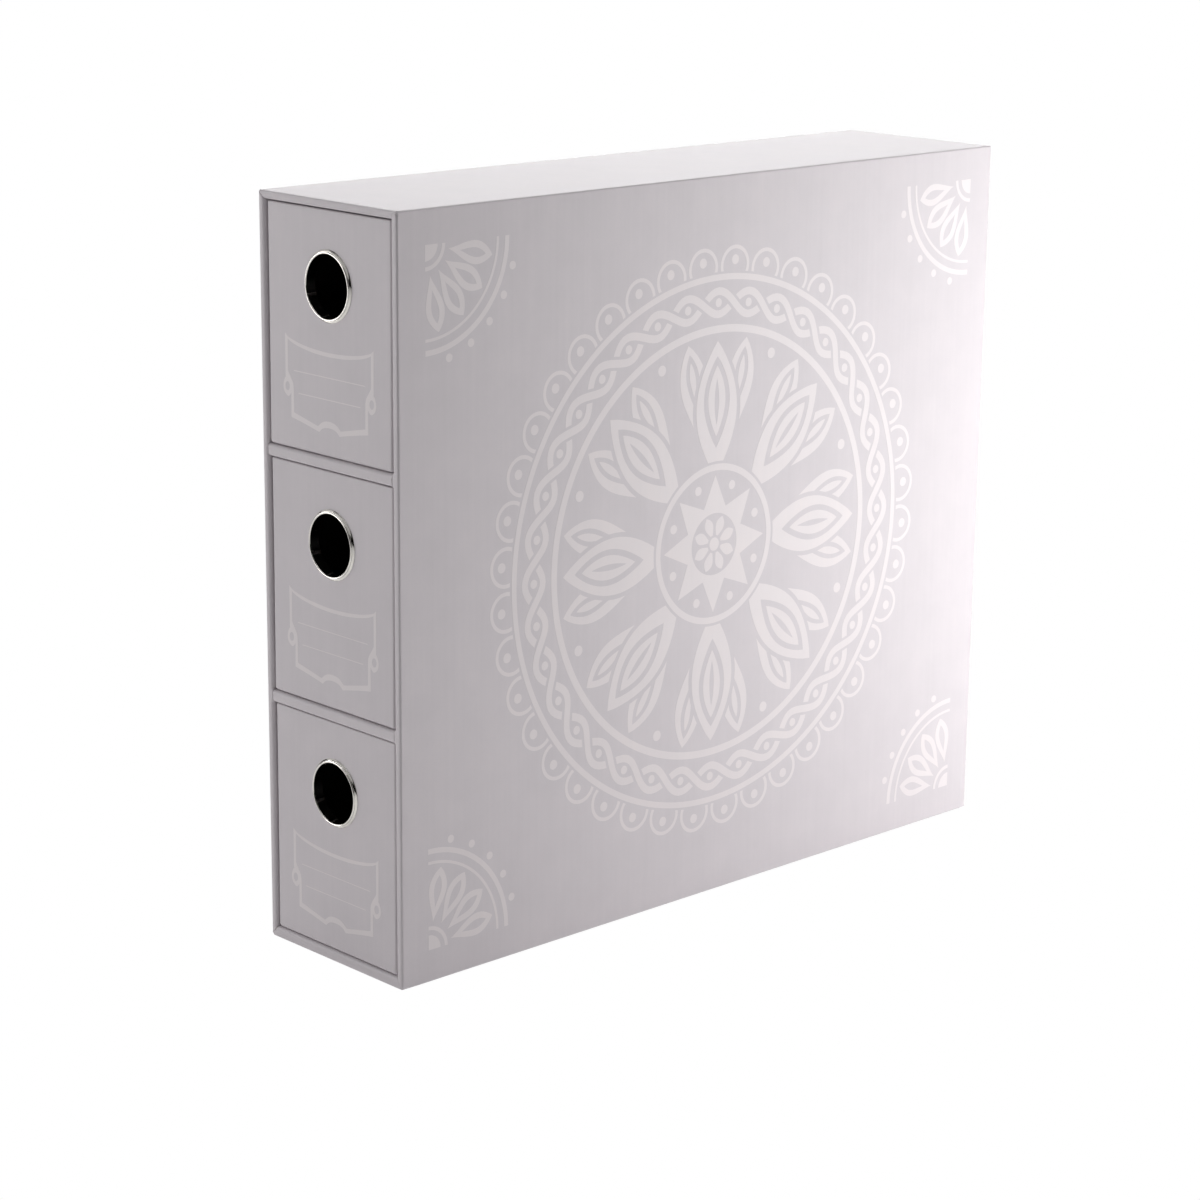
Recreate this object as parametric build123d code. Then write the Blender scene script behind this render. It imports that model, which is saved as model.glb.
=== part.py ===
from build123d import *
import os

os.makedirs("parts", exist_ok=True)

# Card drawer box: an upright casing of paper-covered greyboard with two shelves,
# and three full-depth drawers, one above the other, each with a finger ring.
# Row frame: +Z up, origin on the floor under the middle of the casing,
# drawers open towards -Y, +X is the wide face seen to the right of the fronts.
# All lengths in millimetres.

# ---- casing -------------------------------------------------------------
case_w = 85.6          # outside, X
case_d = 350.0         # outside, Y
case_h = 315.0         # outside, Z
board_t = 3.0          # greyboard of the casing walls
base_board_t = 4.3     # base, two greyboard sheets laminated
shelf_board_t = 4.7    # shelves, two greyboard sheets laminated
paper_t = 0.2          # printed and laminated cover paper
lining_t = 0.15        # black lining paper
sheet_t = 0.2          # end papers pasted on the base and the back
sheet_inset = 1.5      # end papers stop this far inside the edges
flap = 15.0            # how far the cover paper turns in, under and over
case_r = 0.8           # covered edges of the casing
case_board_r = 1.3     # crushed edges of the casing boards under the paper
rim_board_r = 1.4      # inner edge of the rim, under the paper

# ---- drawers ------------------------------------------------------------
drawer_w = 76.8        # outside, X
drawer_h = 97.6        # outside, Z
recess = 0.95          # drawer fronts sit this far behind the casing's rim
rear_gap = 1.0         # behind a closed drawer
floor_gap = 0.15       # under a drawer
front_board_t = 2.5
tray_board_t = 2.0
drawer_r = 0.8         # covered edges of the drawers
drawer_board_r = 1.3   # crushed edges of the drawer boards under the paper
drawer_flap = 12.0     # cover paper turned over the drawer's top edge

# ---- finger ring --------------------------------------------------------
ring_drop = 29.3       # ring centre below the drawer's top edge
ring_foot_r = 14.5
ring_crest_r = 13.5
ring_crest = 1.2       # crest above the drawer face
ring_bore_r = 12.7
ring_barrel_r = 13.15  # outside of the barrel
hole_r = 13.2          # hole punched through front board and papers
washer_r = 15.6
washer_t = 0.5

# ---- worked out ---------------------------------------------------------
y_front = -case_d / 2
y_back = case_d / 2
bx = case_w / 2 - paper_t            # outer face of the side boards
ix = bx - board_t                    # inner face of the side boards
bz0 = sheet_t + paper_t              # underside of the base board
iz0 = bz0 + base_board_t             # top of the base board
bz1 = case_h - paper_t               # top of the top board
iz1 = bz1 - board_t                  # underside of the top board
by1 = y_back - sheet_t - paper_t     # rear face of the back board
iy1 = by1 - board_t                  # front face of the back board
by0 = y_front + paper_t              # front end of the boards
shelf_t = shelf_board_t + 2 * paper_t
bay_h = (iz1 - paper_t - iz0 - paper_t - 2 * shelf_t) / 3
bay_z = [iz0 + paper_t + k * (bay_h + shelf_t) for k in range(3)]   # bay floors, bottom to top
shelf_z = [bay_z[k] + bay_h for k in range(2)]                      # undersides of the covered shelves


def slab(x0, x1, y0, y1, z0, z1):
    return Pos((x0 + x1) / 2, (y0 + y1) / 2, (z0 + z1) / 2) * Box(x1 - x0, y1 - y0, z1 - z0)


def near(a, b):
    return abs(a - b) < 1e-4


def rounded(x0, x1, y0, y1, z0, z1, r):
    """A block with every edge rounded."""
    b = slab(x0, x1, y0, y1, z0, z1)
    return fillet(b.edges(), r)


def write(name, shape):
    shape = shape.clean() if hasattr(shape, "clean") else shape
    solids = shape.solids()
    print(name, len(solids), round(sum(s.volume for s in solids), 1))
    export_step(shape if len(solids) > 1 else solids[0], f"parts/{name}.step")


# =========================================================================
# Casing
# =========================================================================

# Board shell: tube closed at the back, open at the front, its rim rounded.
core = rounded(-bx, bx, by0, by1, bz0, bz1, case_board_r)
hollow = slab(-ix, ix, by0 - 5, iy1, iz0, iz1)
shell = core - hollow
rim_in = [e for e in shell.edges()
          if near(e.center().Y, by0) and abs(e.center().X) < ix + 0.01 and iz0 - 0.01 < e.center().Z < iz1 + 0.01]
shell = fillet(rim_in, rim_board_r)

big = 500
write("casing_left_board", shell & slab(-big, -ix, -big, big, -big, big))
write("casing_right_board", shell & slab(ix, big, -big, big, -big, big))
write("casing_top_board", shell & slab(-ix, ix, -big, big, iz1, big))
write("casing_base_board", shell & slab(-ix, ix, -big, big, -big, iz0))
write("casing_back_board", shell & slab(-ix, ix, iy1, big, iz0, iz1))

# Shelves: laminated boards glued between the side boards, front edge rounded
# and covered by a strip of the cover paper that turns in above and below.
shelf_block = []
for k, name in ((0, "lower_shelf"), (1, "upper_shelf")):
    z0, z1 = shelf_z[k], shelf_z[k] + shelf_t
    cover = slab(-ix, ix, y_front, y_front + flap, z0, z1)
    cover = fillet([e for e in cover.edges() if near(e.center().Y, y_front) and near(e.center().X, 0)], 1.3)
    board = slab(-ix, ix, y_front + paper_t, iy1, z0 + paper_t, z1 - paper_t)
    board = fillet([e for e in board.edges() if near(e.center().Y, y_front + paper_t) and not near(e.center().X, 0)], 1.6)
    board = fillet([e for e in board.edges()
                    if e.center().Y < y_front + paper_t + 1.5 and (near(e.center().Z, z0 + paper_t) or near(e.center().Z, z1 - paper_t))], 1.4)
    write(f"{name}_board", board)
    write(f"{name}_wrap", cover - board)
    shelf_block.append(slab(-ix - 1, ix + 1, y_front - 1, iy1, z0 - 0.1, z1 + 0.1))

# Cover paper of the casing: over both sides and the top, round the rim and
# into the bays, and turned under the base and over the back.
skin = rounded(-case_w / 2, case_w / 2, y_front, y_back - sheet_t, sheet_t, case_h, case_r)
throat = slab(-ix + paper_t, ix - paper_t, y_front - 5, iy1, iz0 + paper_t, iz1 - paper_t)
skin = skin - throat
rim_out = [e for e in skin.edges()
           if near(e.center().Y, y_front) and abs(e.center().X) < ix and iz0 < e.center().Z < iz1]
skin = fillet(rim_out, case_r)
skin = skin - shell
# nothing of it stays on the inside walls beyond the turned-in strip
skin = skin - slab(-ix, ix, y_front + flap, iy1 + board_t, iz0, iz1)
# the turned-in strips are slit round the shelf ends
for s in shelf_block:
    skin = skin - (s & slab(-ix, ix, -big, big, -big, big))
# windows in the underside and the back, closed by the end papers
skin = skin - slab(-case_w / 2 + flap, case_w / 2 - flap, y_front + flap, y_back - flap, -1, bz0)
skin = skin - slab(-case_w / 2 + flap, case_w / 2 - flap, by1, y_back + 1, flap, case_h - flap)
write("casing_wrap", skin)

sx, sy, si = case_w / 2 - sheet_inset, case_d / 2 - sheet_inset, sheet_inset
write("casing_base_sheet", slab(-sx, sx, -sy, sy, 0, sheet_t))
write("casing_back_sheet", slab(-sx, sx, y_back - sheet_t, y_back, sheet_t + si, case_h - si))

# Black lining of each bay: a paper box open at the front, from the edge of the
# turned-in cover paper to the back board.
for k, name in ((0, "bottom"), (1, "middle"), (2, "top")):
    z0 = iz0 if k == 0 else shelf_z[k - 1] + shelf_t - paper_t
    z1 = iz1 if k == 2 else shelf_z[k] + paper_t
    outer = slab(-ix, ix, y_front + flap, iy1, z0, z1)
    inner = slab(-ix + lining_t, ix - lining_t, y_front + flap - 1, iy1 - lining_t, z0 + lining_t, z1 - lining_t)
    write(f"{name}_bay_lining", outer - inner)

# =========================================================================
# Drawers
# =========================================================================
fy = y_front + recess                       # drawer face
ry = iy1 - lining_t - rear_gap              # drawer's rear face
hx = drawer_w / 2


def drawer(name, floor):
    z0 = floor + floor_gap
    z1 = z0 + drawer_h
    rc = (0, 0, z1 - ring_drop)             # finger ring centre, X and Z

    # boards inside the cover paper
    tray = rounded(-hx + paper_t, hx - paper_t, fy + paper_t, ry - paper_t,
                   z0 + paper_t, z1 - paper_t, drawer_board_r)
    cx = hx - paper_t - tray_board_t        # inner faces of the boards
    cy0 = fy + paper_t + front_board_t
    cy1 = ry - paper_t - tray_board_t
    cz = z0 + paper_t + tray_board_t
    tray = tray - slab(-cx, cx, cy0, cy1, cz, z1 + 5)
    top_in = [e for e in tray.edges()
              if near(e.center().Z, z1 - paper_t) and abs(e.center().X) < cx + 0.01 and cy0 - 0.01 < e.center().Y < cy1 + 0.01]
    tray = fillet(top_in, drawer_r - paper_t)
    bore = Pos(0, fy, rc[2]) * Rot(90, 0, 0) * Cylinder(hole_r, 20)
    tray = tray - bore

    write(f"{name}_front_board", tray & slab(-big, big, -big, cy0, -big, big))
    body = slab(-big, big, cy0, big, -big, big)
    write(f"{name}_left_board", tray & body & slab(-big, -cx, -big, big, -big, big))
    write(f"{name}_right_board", tray & body & slab(cx, big, -big, big, -big, big))
    write(f"{name}_back_board", tray & slab(-cx, cx, cy1, big, -big, big))
    write(f"{name}_base_board", tray & slab(-cx, cx, cy0, cy1, -big, cz))

    # cover paper: outside faces, over the top edge and down inside
    wrap = rounded(-hx, hx, fy, ry, z0, z1, drawer_r)
    wrap = wrap - slab(-cx + paper_t, cx - paper_t, cy0 + paper_t, cy1 - paper_t, cz, z1 + 5)
    top_out = [e for e in wrap.edges()
               if near(e.center().Z, z1) and abs(e.center().X) < cx and cy0 < e.center().Y < cy1]
    wrap = fillet(top_out, drawer_r)
    wrap = wrap - bore - tray
    wrap = wrap - slab(-cx, cx, cy0, cy1, z0 + paper_t, z1 - drawer_flap)
    # the bore cleared the tray, so the plug of paper left in the hole goes too
    wrap = wrap - (Pos(0, cy0, rc[2]) * Rot(90, 0, 0) * Cylinder(hole_r, 2 * front_board_t + 4))
    write(f"{name}_wrap", wrap)

    # black lining: floor and walls up to the turned-over paper
    lining = slab(-cx, cx, cy0, cy1, cz, z1 - drawer_flap)
    lining = lining - slab(-cx + lining_t, cx - lining_t, cy0 + lining_t, cy1 - lining_t, cz + lining_t, z1)
    lining = lining - bore
    write(f"{name}_lining", lining)

    # finger ring: one piece of rolled sheet, domed flange outside, barrel
    # through the board, curled over the washer inside
    back = front_board_t + paper_t + lining_t + washer_t      # washer's rear face behind the drawer face
    with BuildSketch(Plane.YZ) as sk:
        with BuildLine():
            p0 = (0.0, ring_barrel_r)
            p1 = (0.0, ring_foot_r)
            p2 = (-ring_crest, ring_crest_r)
            p3 = (-0.35, ring_bore_r)
            p4 = (back + 0.25, ring_bore_r)
            p5 = (back + 0.75, ring_bore_r + 0.55)
            p6 = (back + 0.35, ring_bore_r + 1.25)
            p7 = (back, ring_bore_r + 1.25)
            p8 = (back, ring_barrel_r)
            Line(p0, p1)
            ThreePointArc(p1, (-0.80, 14.22), p2)
            ThreePointArc(p2, (-0.98, 12.98), p3)
            Line(p3, p4)
            ThreePointArc(p4, (back + 0.61, ring_bore_r + 0.19), p5)
            ThreePointArc(p5, (back + 0.68, ring_bore_r + 0.95), p6)
            Line(p6, p7)
            Line(p7, p8)
            Line(p8, p0)
        make_face()
    ring = revolve(sk.sketch, Axis.Y, 360)
    write(f"{name}_finger_ring", Pos(0, fy, rc[2]) * ring)

    wy0 = fy + front_board_t + paper_t + lining_t
    washer = Cylinder(washer_r, washer_t) - Cylinder(hole_r + 0.05, 2 * washer_t)
    write(f"{name}_ring_washer", Pos(0, wy0 + washer_t / 2, rc[2]) * Rot(90, 0, 0) * washer)
    print(name, "ring centre z", rc[2], "face y", fy, "inside x", cx - lining_t, "y", cy0 + lining_t, cy1 - lining_t, "z", cz + lining_t, z1)


drawer("bottom_drawer", bay_z[0])
drawer("middle_drawer", bay_z[1])
drawer("top_drawer", bay_z[2])
print("bays", bay_h, bay_z, "shelves", shelf_z)
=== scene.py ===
import math

import bmesh
import bpy
import numpy as np
from mathutils import Matrix, Vector
from mathutils.geometry import delaunay_2d_cdt


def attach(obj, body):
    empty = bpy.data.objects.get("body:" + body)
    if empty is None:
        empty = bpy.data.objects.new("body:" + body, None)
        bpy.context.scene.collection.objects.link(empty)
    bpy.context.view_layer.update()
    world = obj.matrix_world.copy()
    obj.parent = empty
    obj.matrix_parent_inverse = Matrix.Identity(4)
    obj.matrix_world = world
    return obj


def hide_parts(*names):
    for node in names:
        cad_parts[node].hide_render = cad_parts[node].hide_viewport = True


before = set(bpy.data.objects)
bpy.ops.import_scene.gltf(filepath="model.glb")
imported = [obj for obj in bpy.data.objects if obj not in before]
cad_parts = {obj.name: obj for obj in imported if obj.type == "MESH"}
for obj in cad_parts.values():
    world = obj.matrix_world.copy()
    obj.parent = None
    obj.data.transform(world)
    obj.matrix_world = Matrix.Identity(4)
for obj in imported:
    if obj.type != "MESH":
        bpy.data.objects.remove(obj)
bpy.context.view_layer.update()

# Looks of the card drawer box: cover papers with their folded edges and mitred
# corners, finger rings, printed ornament, materials, studio.
# Shapes are worked out in millimetres and written in metres.

MM = 0.001
rad = math.radians

# ---- sizes of the construction, in millimetres -----------------------------
HW = 42.8                    # half the casing's width
YF, YB = -175.0, 174.8       # rim plane, rear face of the cover paper
ZB, ZT = 0.2, 315.0          # underside and top of the cover paper
RIM = 3.4                    # width of the rim
RIM_MORE = 0.35              # the right upright is folded a little fuller
BASE_MORE = 1.3              # the base is two boards thick
PAPER = 0.19
SHELVES = ((103.733, 108.833), (207.667, 212.767))
FY, RY = -174.05, 170.45     # drawer face, drawer rear
DHW = 38.4                   # half a drawer's width
DRAWERS = (("bottom_drawer", 5.05), ("middle_drawer", 108.983), ("top_drawer", 212.917))
DRAWER_H = 97.6
RING_DROP = 29.3


def smooth(a, b, x):
    t = min(1.0, max(0.0, (x - a) / (b - a)))
    return t * t * (3 - 2 * t)


def lerp(a, b, t):
    return a + (b - a) * t


# ============================================================================
# Materials
# ============================================================================

def material(name):
    m = bpy.data.materials.new(name)
    m.use_nodes = True
    nt = m.node_tree
    nt.nodes.clear()
    out = nt.nodes.new("ShaderNodeOutputMaterial")
    bsdf = nt.nodes.new("ShaderNodeBsdfPrincipled")
    nt.links.new(bsdf.outputs["BSDF"], out.inputs["Surface"])
    return m, nt, bsdf


def coords(nt, scale):
    tc = nt.nodes.new("ShaderNodeTexCoord")
    mp = nt.nodes.new("ShaderNodeMapping")
    mp.inputs["Scale"].default_value = scale
    nt.links.new(tc.outputs["Object"], mp.inputs["Vector"])
    return mp.outputs["Vector"]


def noise_tex(nt, vector, scale, detail=2.0, roughness=0.5, distortion=0.0):
    n = nt.nodes.new("ShaderNodeTexNoise")
    n.inputs["Scale"].default_value = scale
    n.inputs["Detail"].default_value = detail
    n.inputs["Roughness"].default_value = roughness
    n.inputs["Distortion"].default_value = distortion
    nt.links.new(vector, n.inputs["Vector"])
    return n.outputs["Fac"]


def math_node(nt, op, a, b):
    n = nt.nodes.new("ShaderNodeMath")
    n.operation = op
    for i, v in enumerate((a, b)):
        if isinstance(v, (int, float)):
            n.inputs[i].default_value = v
        else:
            nt.links.new(v, n.inputs[i])
    return n.outputs[0]


def ramp(nt, fac, stops):
    r = nt.nodes.new("ShaderNodeValToRGB")
    els = r.color_ramp.elements
    while len(els) < len(stops):
        els.new(0.5)
    for e, (p, c) in zip(els, stops):
        e.position = p
        e.color = (*c, 1)
    nt.links.new(fac, r.inputs["Fac"])
    return r.outputs["Color"]


def ranged(nt, value, lo, hi, a=0.0, b=1.0):
    n = nt.nodes.new("ShaderNodeMapRange")
    n.inputs["From Min"].default_value = a
    n.inputs["From Max"].default_value = b
    n.inputs["To Min"].default_value = lo
    n.inputs["To Max"].default_value = hi
    nt.links.new(value, n.inputs["Value"])
    return n.outputs["Result"]


def bump(nt, bsdf, height, distance, strength=1.0):
    b = nt.nodes.new("ShaderNodeBump")
    b.inputs["Strength"].default_value = strength
    b.inputs["Distance"].default_value = distance
    nt.links.new(height, b.inputs["Height"])
    nt.links.new(b.outputs["Normal"], bsdf.inputs["Normal"])


def scaled(c, k):
    return tuple(min(1.0, x * k) for x in c)


def paper_material(name, base, rough, warm, fibre=0.000012, mottle=0.035):
    """Laminated paper: faint cloudy mottling, drawn streaks along the grain, a fine
    fibre relief under the film and a slow unevenness of the paste below."""
    m, nt, bsdf = material(name)
    plain = coords(nt, (1, 1, 1))
    cloud = noise_tex(nt, plain, 55, 4, 0.55)
    grain = noise_tex(nt, coords(nt, (420, 420, 9)), 1.0, 3, 0.6)
    speck = noise_tex(nt, plain, 1900, 2, 0.5)
    mix = math_node(nt, "ADD", math_node(nt, "MULTIPLY", cloud, 0.55),
                    math_node(nt, "ADD", math_node(nt, "MULTIPLY", grain, 0.3), math_node(nt, "MULTIPLY", speck, 0.15)))
    dark, light = scaled(base, 1 - mottle), scaled(base, 1 + mottle)
    light = (light[0] * (1 + warm), light[1], light[2] * (1 - warm))
    nt.links.new(ramp(nt, mix, [(0.32, dark), (0.5, base), (0.68, light)]), bsdf.inputs["Base Color"])
    nt.links.new(ranged(nt, mix, rough - 0.03, rough + 0.03, 0.3, 0.7), bsdf.inputs["Roughness"])
    fine = noise_tex(nt, plain, 1500, 3, 0.6)
    slow = noise_tex(nt, plain, 90, 2, 0.5)
    height = math_node(nt, "ADD", math_node(nt, "MULTIPLY", fine, 0.5), math_node(nt, "MULTIPLY", slow, 0.15))
    bump(nt, bsdf, height, fibre)
    bsdf.inputs["Specular IOR Level"].default_value = 0.5
    return m


COVER = (0.587, 0.547, 0.571)
cover_paper = paper_material("cover_paper", COVER, 0.55, 0.004)
print_ink = paper_material("print_ink", (0.692, 0.644, 0.655), 0.46, 0.008, fibre=0.000008, mottle=0.02)
end_paper = paper_material("end_paper", (0.560, 0.527, 0.547), 0.62, 0.006, fibre=0.00003, mottle=0.045)


def greyboard_material():
    m, nt, bsdf = material("greyboard")
    v = coords(nt, (1, 1, 1))
    flock = noise_tex(nt, v, 700, 6, 0.7)
    layer = noise_tex(nt, coords(nt, (60, 60, 3200)), 1.0, 3, 0.6)
    spots = nt.nodes.new("ShaderNodeTexVoronoi")
    spots.inputs["Scale"].default_value = 900
    nt.links.new(v, spots.inputs["Vector"])
    mix = math_node(nt, "ADD", math_node(nt, "MULTIPLY", flock, 0.6),
                    math_node(nt, "ADD", math_node(nt, "MULTIPLY", layer, 0.25), math_node(nt, "MULTIPLY", spots.outputs["Distance"], 0.3)))
    nt.links.new(ramp(nt, mix, [(0.3, (0.20, 0.18, 0.155)), (0.55, (0.33, 0.30, 0.265)), (0.8, (0.42, 0.39, 0.35))]),
                 bsdf.inputs["Base Color"])
    nt.links.new(ranged(nt, flock, 0.82, 0.98), bsdf.inputs["Roughness"])
    bump(nt, bsdf, mix, 0.00008)
    return m


def lining_material():
    m, nt, bsdf = material("lining_paper")
    v = coords(nt, (1, 1, 1))
    fibre = noise_tex(nt, coords(nt, (1400, 500, 1400)), 1.0, 4, 0.65, 0.6)
    cloud = noise_tex(nt, v, 60, 3, 0.5)
    mix = math_node(nt, "ADD", math_node(nt, "MULTIPLY", fibre, 0.7), math_node(nt, "MULTIPLY", cloud, 0.3))
    nt.links.new(ramp(nt, mix, [(0.3, (0.024, 0.023, 0.024)), (0.55, (0.036, 0.035, 0.036)), (0.78, (0.056, 0.054, 0.055))]),
                 bsdf.inputs["Base Color"])
    nt.links.new(ranged(nt, mix, 0.62, 0.85, 0.3, 0.7), bsdf.inputs["Roughness"])
    bump(nt, bsdf, fibre, 0.00005)
    bsdf.inputs["Specular IOR Level"].default_value = 0.3
    return m


def nickel_material():
    """Bright nickel plate: faint waviness of the drawn sheet and fine polishing haze."""
    m, nt, bsdf = material("nickel_ring")
    v = coords(nt, (1, 1, 1))
    haze = noise_tex(nt, v, 420, 4, 0.6)
    hair = noise_tex(nt, coords(nt, (300, 2600, 300)), 1.0, 3, 0.7)
    mix = math_node(nt, "ADD", math_node(nt, "MULTIPLY", haze, 0.6), math_node(nt, "MULTIPLY", hair, 0.4))
    nt.links.new(ramp(nt, mix, [(0.3, (0.70, 0.675, 0.635)), (0.6, (0.78, 0.755, 0.715))]), bsdf.inputs["Base Color"])
    nt.links.new(ranged(nt, mix, 0.07, 0.17, 0.3, 0.7), bsdf.inputs["Roughness"])
    bump(nt, bsdf, mix, 0.000006)
    bsdf.inputs["Metallic"].default_value = 1.0
    return m


def washer_material():
    m, nt, bsdf = material("plated_washer")
    hair = noise_tex(nt, coords(nt, (2200, 2200, 150)), 1.0, 4, 0.6)
    spot = noise_tex(nt, coords(nt, (1, 1, 1)), 260, 3, 0.6)
    mix = math_node(nt, "ADD", math_node(nt, "MULTIPLY", hair, 0.6), math_node(nt, "MULTIPLY", spot, 0.4))
    nt.links.new(ramp(nt, mix, [(0.3, (0.46, 0.45, 0.43)), (0.7, (0.62, 0.61, 0.585))]), bsdf.inputs["Base Color"])
    nt.links.new(ranged(nt, mix, 0.26, 0.42, 0.3, 0.7), bsdf.inputs["Roughness"])
    bump(nt, bsdf, hair, 0.00001)
    bsdf.inputs["Metallic"].default_value = 1.0
    return m


greyboard = greyboard_material()
lining_paper = lining_material()
nickel = nickel_material()
washer_metal = washer_material()


# ============================================================================
# Mesh helpers
# ============================================================================

def finish_mesh(bm, name, mat, body, nodes=(), outward=None, sheet=None, sharp=38):
    """Welds, turns the faces outward, gives a sheet its thickness, and hangs it on its body."""
    bmesh.ops.remove_doubles(bm, verts=bm.verts, dist=2e-7)
    bmesh.ops.dissolve_degenerate(bm, edges=bm.edges, dist=1e-8)
    bmesh.ops.recalc_face_normals(bm, faces=bm.faces)
    if outward is not None:
        bm.normal_update()
        if outward(bm) < 0:
            bmesh.ops.reverse_faces(bm, faces=bm.faces)
    me = bpy.data.meshes.new(name)
    bm.to_mesh(me)
    bm.free()
    ob = bpy.data.objects.new(name, me)
    bpy.context.scene.collection.objects.link(ob)
    if sheet:
        mod = ob.modifiers.new("paper", "SOLIDIFY")
        mod.thickness = sheet * MM
        mod.offset = -1
        mod.use_even_offset = False
        dg = bpy.context.evaluated_depsgraph_get()
        thick = bpy.data.meshes.new_from_object(ob.evaluated_get(dg))
        ob.modifiers.clear()
        old = ob.data
        ob.data = thick
        ob.data.name = name
        bpy.data.meshes.remove(old)
    me = ob.data
    me.materials.clear()
    me.materials.append(mat)
    me.polygons.foreach_set("use_smooth", [True] * len(me.polygons))
    me.set_sharp_from_angle(angle=rad(sharp))
    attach(ob, body)
    if nodes:
        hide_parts(*nodes)
    return ob


class Outline:
    """Points round a rectangle with rounded corners, always as many and always in the
    same order, so that loops of different sizes join into quads. Counter-clockwise
    from the lower left corner: corners 0 lower left, 1 lower right, 2 upper right,
    3 upper left; sides 0 bottom, 1 right, 2 top, 3 left."""

    def __init__(self, fix_h, fix_v, near, n_arc):
        s = []
        for c in range(4):
            s += [("arc", c, 180 + 90 * c + 90 * k / n_arc) for k in range(n_arc + 1)]
            s += [("out", c, k) for k in near]
            fix = fix_h if c % 2 == 0 else fix_v
            s += [("fix", c, v) for v in (fix if c < 2 else fix[::-1])]
            s += [("in", c, k) for k in near[::-1]]
        self.spec = s

    def points(self, x0, x1, z0, z1, r, squeeze=None):
        corner = ((x0, z0), (x1, z0), (x1, z1), (x0, z1))
        way = ((1, 0), (0, 1), (-1, 0), (0, -1))
        got = []
        for kind, c, v in self.spec:
            if kind == "arc":
                cx = corner[c][0] + (r[c] if c in (0, 3) else -r[c])
                cz = corner[c][1] + (r[c] if c < 2 else -r[c])
                got.append((cx + r[c] * math.cos(rad(v)), cz + r[c] * math.sin(rad(v))))
            elif kind == "out":
                k = r[c] + v
                got.append((corner[c][0] + way[c][0] * k, corner[c][1] + way[c][1] * k))
            elif kind == "in":
                n = (c + 1) % 4
                k = r[n] + v
                got.append((corner[n][0] - way[c][0] * k, corner[n][1] - way[c][1] * k))
            else:
                if squeeze:
                    v = squeeze(c, v)
                got.append(((v, z0), (x1, v), (v, z1), (x0, v))[c])
        return got


def skin(bm, rows, closed=True, skip=None):
    """Quads between rows of equally many points; skip(i, j) leaves one out."""
    grid = [[bm.verts.new(Vector(p) * MM) for p in row] for row in rows]
    n = len(grid[0])
    for i in range(len(grid) - 1):
        for j in range(n if closed else n - 1):
            if skip and skip(i, j):
                continue
            k = (j + 1) % n
            quad = [grid[i][j], grid[i + 1][j], grid[i + 1][k], grid[i][k]]
            bm.faces.new(quad)
    return grid


def displace(bm, depth):
    """Moves each vertex inward along its normal by depth(x, y, z), in millimetres."""
    bm.normal_update()
    moves = []
    for v in bm.verts:
        d = depth(*(v.co / MM))
        if d:
            moves.append((v, v.normal * (d * MM)))
    for v, m in moves:
        v.co -= m


# ============================================================================
# Casing cover: sides and top, round the rim, into the bays, mitred corners
# ============================================================================
FRONT_R = (1.6, 1.1, 0.85, 0.85)      # corners of the rim: lower left, lower right, upper right, upper left
LONG_R = 0.75
R_OUT = 0.85                          # outer edge of the rim
R_IN = 1.55                           # inner edge of the rim


def inner_radius(x, z):
    """The rim's inner edge is soft, but tighter where a shelf butts against it; at
    the upper shelf's left end the slit in the turned-in paper leaves it wider."""
    r = R_IN
    for k, (z0, z1) in enumerate(SHELVES):
        w = smooth(z0 - 0.5, z0 + 0.3, z) * (1 - smooth(z1 - 0.2, z1 + 0.6, z))
        there = 0.35 if x > 0 else (0.75 if k == 0 else 2.0)
        r = lerp(r, there, w)
    return r


def casing_profile(r_in):
    pts = [(d, YB) for d in (15, 11, 7, 4, 2.4, 1.5)]
    for a in range(7):
        t = rad(15 * a)
        pts.append((LONG_R * (1 - math.sin(t)), YB - LONG_R * (1 - math.cos(t))))
    y = YB - LONG_R
    pts += [(0, y - k) for k in (0.4, 1.2, 3, 7, 14)]
    pts += [(0, v) for v in range(150, -160, -15)]
    pts += [(0, YF + R_OUT + k) for k in (14, 7, 3.5, 1.8, 0.9, 0.35)]
    for a in range(10):
        t = rad(10 * a)
        pts.append((R_OUT * (1 - math.cos(t)), YF + R_OUT * (1 - math.sin(t)) + 0.02))
    flat0, flat1 = R_OUT, RIM - r_in
    for k in range(1, 5):
        u = k / 5
        pts.append((lerp(flat0, flat1, u), YF + 0.02 * (2 * u - 1) ** 2))
    for a in range(11):
        t = rad(9 * a)
        pts.append((flat1 + r_in * math.sin(t), YF + r_in * (1 - math.cos(t)) + 0.02 * (1 - a / 10)))
    for u in (0.05, 0.15, 0.35, 0.65, 1.0):
        pts.append((RIM, lerp(YF + r_in, YF + 15, u)))
    return pts


def mitre(x, y, z):
    """Depth of the folded seams at the rim's corners, with their raised lips."""
    u = (HW - abs(x)) * (RIM / (RIM + RIM_MORE) if x > 0 else 1)
    top = z > 157
    v = (ZT - z) if top else (z - ZB) * RIM / (RIM + BASE_MORE)
    if u > 5 or v > 5 or y > YF + 3:
        return 0.0
    s = (u - v) / math.sqrt(2)
    t = (u + v) / 2
    right = x > 0
    if top and right:
        s -= 0.55 * math.sin(math.pi * min(1, max(0, t / RIM))) - 0.12
    elif top:
        s += 0.03 * math.sin(5 * t)
    elif right:
        s += 0.16 * math.sin(math.pi * min(1, max(0, t / RIM)))
    else:
        s -= 0.08
    fade = 1 - smooth(YF + 0.9, YF + 2.6, y)
    fade *= smooth(-0.1, 0.35, t)
    depth = {(True, True): 0.13, (True, False): 0.2, (False, True): 0.12, (False, False): 0.2}[(top, right)]
    g = depth * math.exp(-(s / 0.16) ** 2) - 0.055 * math.exp(-((abs(s) - 0.42) / 0.17) ** 2)
    return g * fade


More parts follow.
